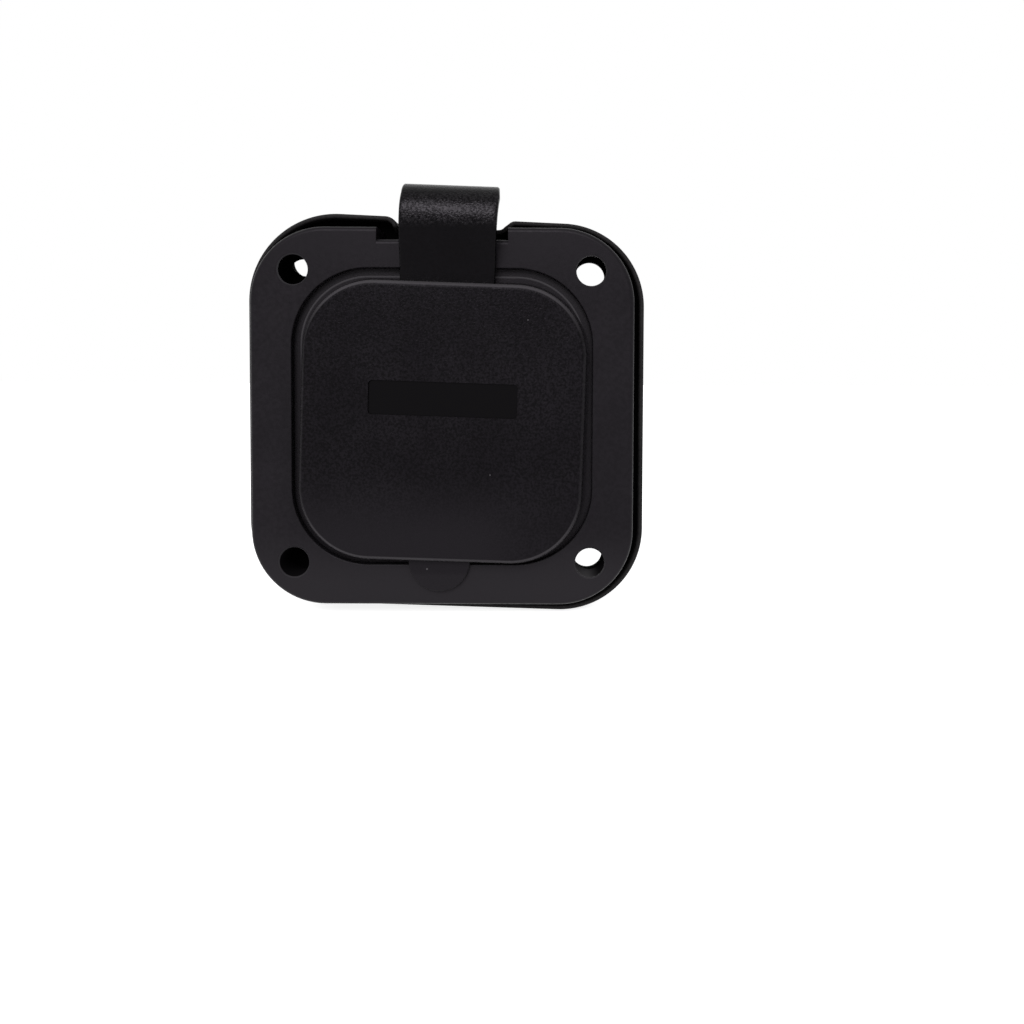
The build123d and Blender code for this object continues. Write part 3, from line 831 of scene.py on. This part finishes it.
# ---- clamp plates: zinc-plated pressings; terminal screws: brass, plated steel and green lacquer
clampZinc = surface("clampZinc", metalLook((0.54, 0.55, 0.56), (0.64, 0.65, 0.66), 0.38, (0.2, 1.0, 1.0)))
screwBrass = surface("screwBrass", metalLook((0.66, 0.48, 0.21), (0.74, 0.55, 0.26), 0.28, screwDrawn))
screwSteel = surface("screwSteel", metalLook((0.52, 0.52, 0.51), (0.62, 0.62, 0.61), 0.32, screwDrawn))
lacquerLook = {
    "colour": (0.020, 0.150, 0.050),
    "colourHigh": (0.035, 0.210, 0.075),
    "rough": 0.30,
    "roughSpread": 0.05,
    "specular": 0.5,
    "metal": 0.35,
    "cloudScale": 700.0,
    "glossScale": 1500.0,
    "grainScale": 1900.0,
    "grainStrength": 0.4,
    "grainHeight": 0.03,
    "mottle": (1400.0, 0.15),
}
screwGreen = surface("screwGreen", lacquerLook)

# ---- every CAD node that stays gets the material of its own piece
finishes = {
    "housing": housingPlastic,
    "gasket": gasketRubber,
    "cap": capRubber,
    "strap": strapRubber,
    "contact_carrier": carrierNylon,
    "line_blade": lineBrass,
    "neutral_blade": neutralNickel,
    "ground_pin": pinBrass,
    "line_clamp_plate": clampZinc,
    "neutral_clamp_plate": clampZinc,
    "ground_clamp_plate": clampZinc,
    "line_terminal_screw": screwBrass,
    "neutral_terminal_screw": screwSteel,
    "ground_terminal_screw": screwGreen,
    "rear_cover": coverPlastic,
    "cover_seal": sealRubber,
    "cable_bush": bushRubber,
    "cable_clamp": coverPlastic,
    "cover_screws": screwSteel,
    "cable_clamp_screws": screwSteel,
}
for name, thing in nodes.items():
    thing.data.materials.clear()
    thing.data.materials.append(finishes[name])
print("materials made")

# ---- floor, backdrop and light
studio = {
    "floorHeight": -39.35,
    "floorSize": 8.0,
    "floorGlow": 0.8,
    "paper": {"colour": (0.8, 0.8, 0.8), "rough": 0.95, "specular": 0.0},
    "worldStrength": 0.55,
    "sunStrength": 1.7,
    "sunAngle": 35.0,  # how wide the sun is, in degrees
    "sunHeight": 33.0,
    "sunSide": -8.0,
}


def seenRay(tree):
    # 1 for the rays that show the backdrop itself: from the camera, off gloss and through glass
    ray = addNode(tree, "LightPath")
    seen = maths(tree, "ADD", ray.outputs["Is Camera Ray"], ray.outputs["Is Glossy Ray"])
    return maths(tree, "ADD", seen, ray.outputs["Is Transmission Ray"], clamp=True)


def addFloor(s):
    half = s["floorSize"] / 2
    mesh = bpy.data.meshes.new("floor")
    z = s["floorHeight"] * mm
    corners = [(-half, -half, z), (half, -half, z), (half, half, z), (-half, half, z)]
    mesh.from_pydata(corners, [], [(0, 1, 2, 3)])
    floor = bpy.data.objects.new("floor", mesh)
    scene.collection.objects.link(floor)
    material, tree, shader = newMaterial("floorPaper", s["paper"])
    shader.inputs["Emission Color"].default_value = (1, 1, 1, 1)
    link(tree, maths(tree, "MULTIPLY", seenRay(tree), s["floorGlow"]), shader.inputs["Emission Strength"])
    mesh.materials.append(material)


addFloor(studio)
world = bpy.data.worlds.new("studioWorld")
scene.world = world
world.use_nodes = True
tree = world.node_tree
level = addNode(tree, "Mix", data_type="FLOAT")
level.inputs["A"].default_value = studio["worldStrength"]
level.inputs["B"].default_value = 1.0
link(tree, seenRay(tree), level.inputs["Factor"])
link(tree, level.outputs["Result"], tree.nodes["Background"].inputs["Strength"])
tree.nodes["Background"].inputs["Color"].default_value = (1, 1, 1, 1)

sun = bpy.data.lights.new("softSun", "SUN")
sun.energy = studio["sunStrength"]
sun.angle = radians(studio["sunAngle"])
lamp = bpy.data.objects.new("softSun", sun)
height, sideways = radians(studio["sunHeight"]), radians(studio["sunSide"])
towards = Vector((sin(sideways) * cos(height), -cos(sideways) * cos(height), sin(height)))
lamp.rotation_euler = (-towards).to_track_quat("-Z", "Y").to_euler()
scene.collection.objects.link(lamp)
scene.view_settings.view_transform = "Standard"
print("studio lit")
